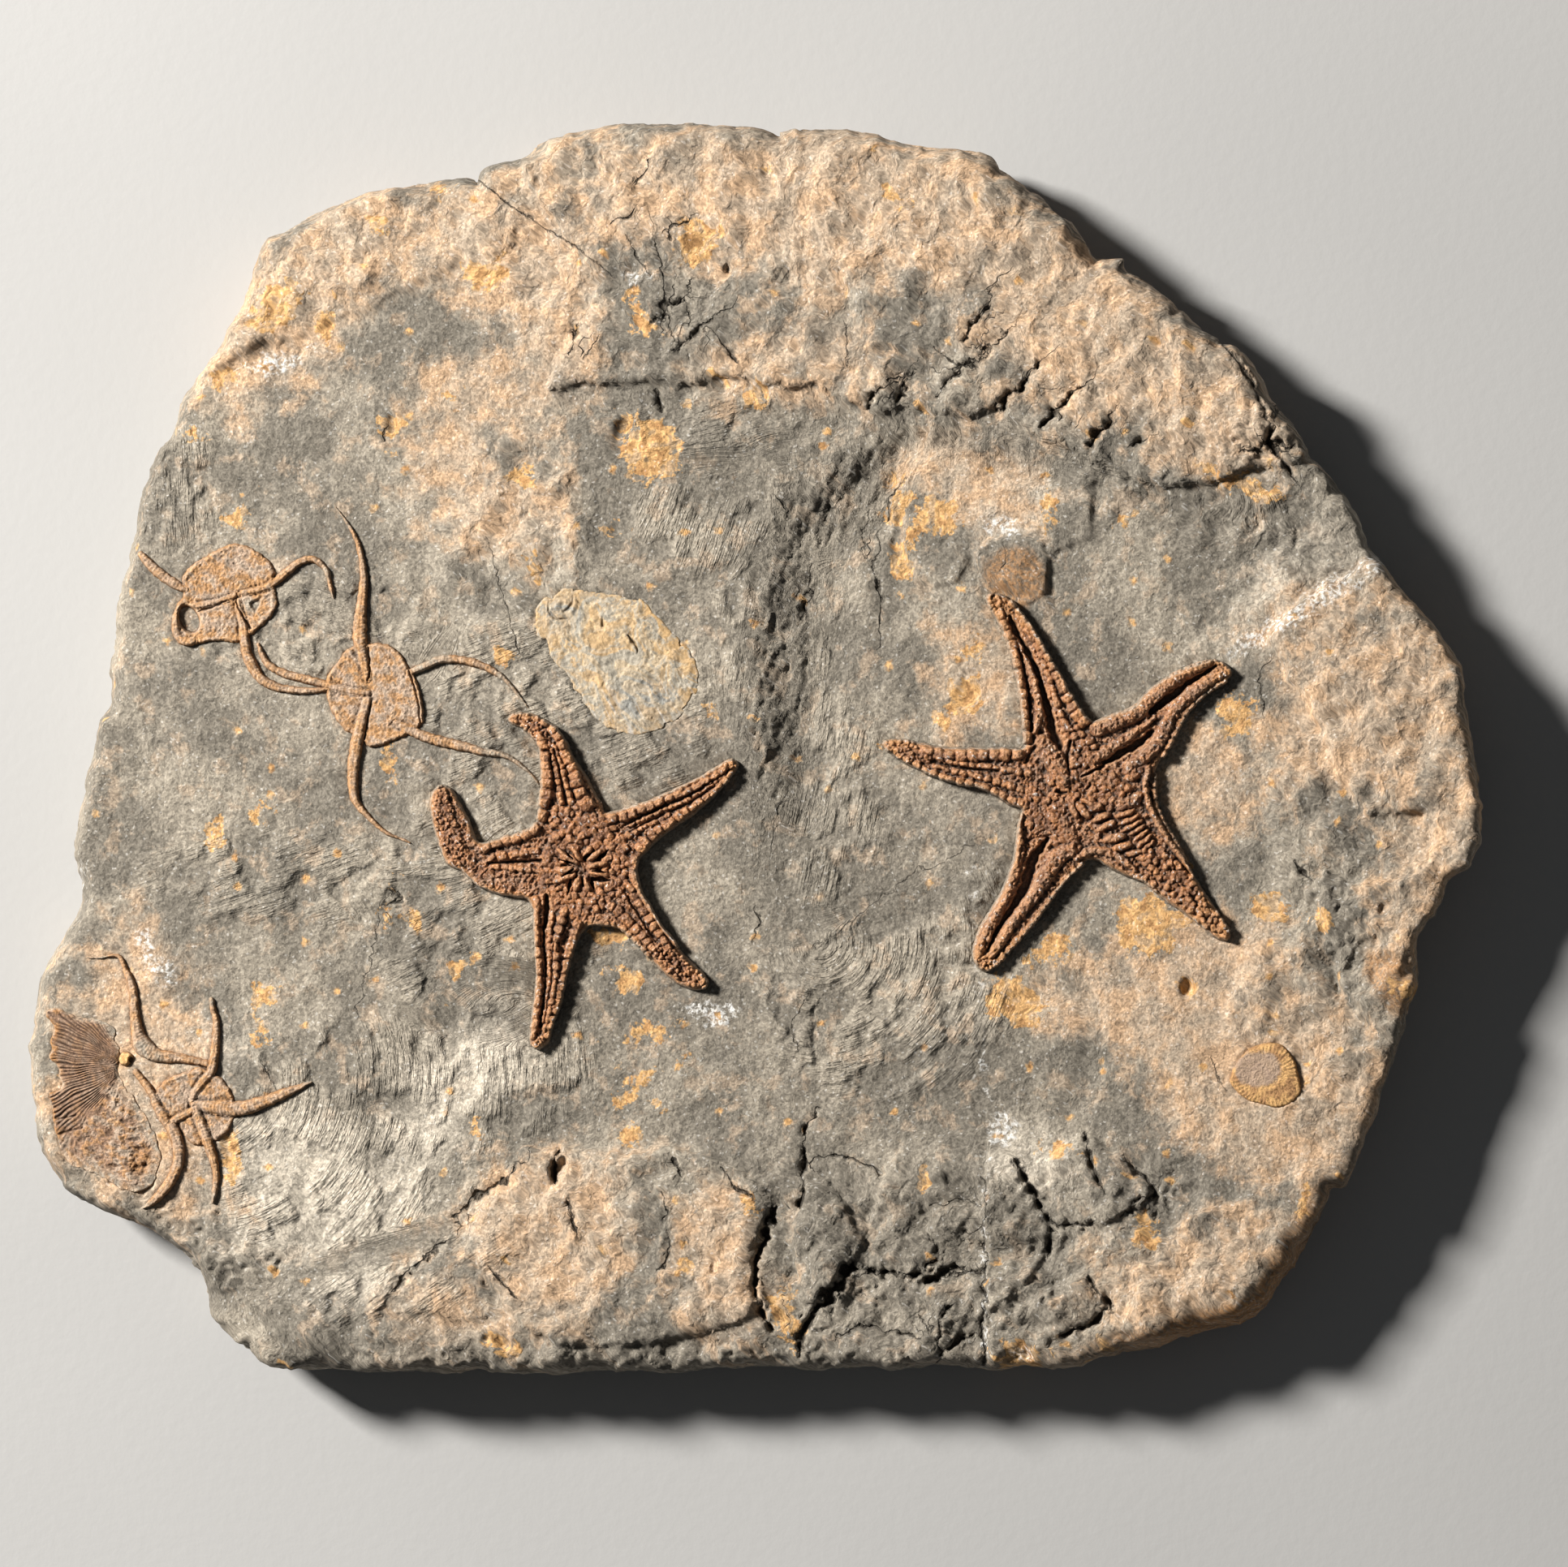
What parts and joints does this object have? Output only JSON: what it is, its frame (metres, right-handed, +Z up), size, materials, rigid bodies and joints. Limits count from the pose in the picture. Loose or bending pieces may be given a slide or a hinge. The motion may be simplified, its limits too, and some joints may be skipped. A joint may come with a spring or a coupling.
{
  "type": "fossil starfish slab",
  "caption": "Thick irregular stone slab with fossil starfish, brittle stars and shells standing in relief on its face, flat underneath to lie on a shelf.",
  "frame": {"origin": "middle of the slab's plan, on its flat underside", "axes": "+X along the slab's length, +Y towards the edge with the raised bedding plate, +Z up out of the fossil face"},
  "size_m": [0.36, 0.31, 0.0301],
  "materials": {
    "stone": "rough broken grey sandstone with tan and ochre stains",
    "starfish_plates": "red-brown iron-stained plates with a slight shine on their crests",
    "brittle_star_plates": "matt orange-brown iron-stained stone",
    "ochre_shell": "matt ochre-brown fossil shell",
    "pale_shell": "smooth cream and ochre fossil shell with blue-grey patches"
  },
  "bodies": {
    "root": {"slab": "stone", "starfish_left": "starfish_plates", "starfish_right": "starfish_plates", "brittle_star_upper": "brittle_star_plates", "brittle_star_middle": "brittle_star_plates", "brittle_star_lower": "brittle_star_plates", "fan_fossil": "ochre_shell", "oval_shell": "pale_shell", "round_shell": "ochre_shell"}
  },
  "joints": []
}
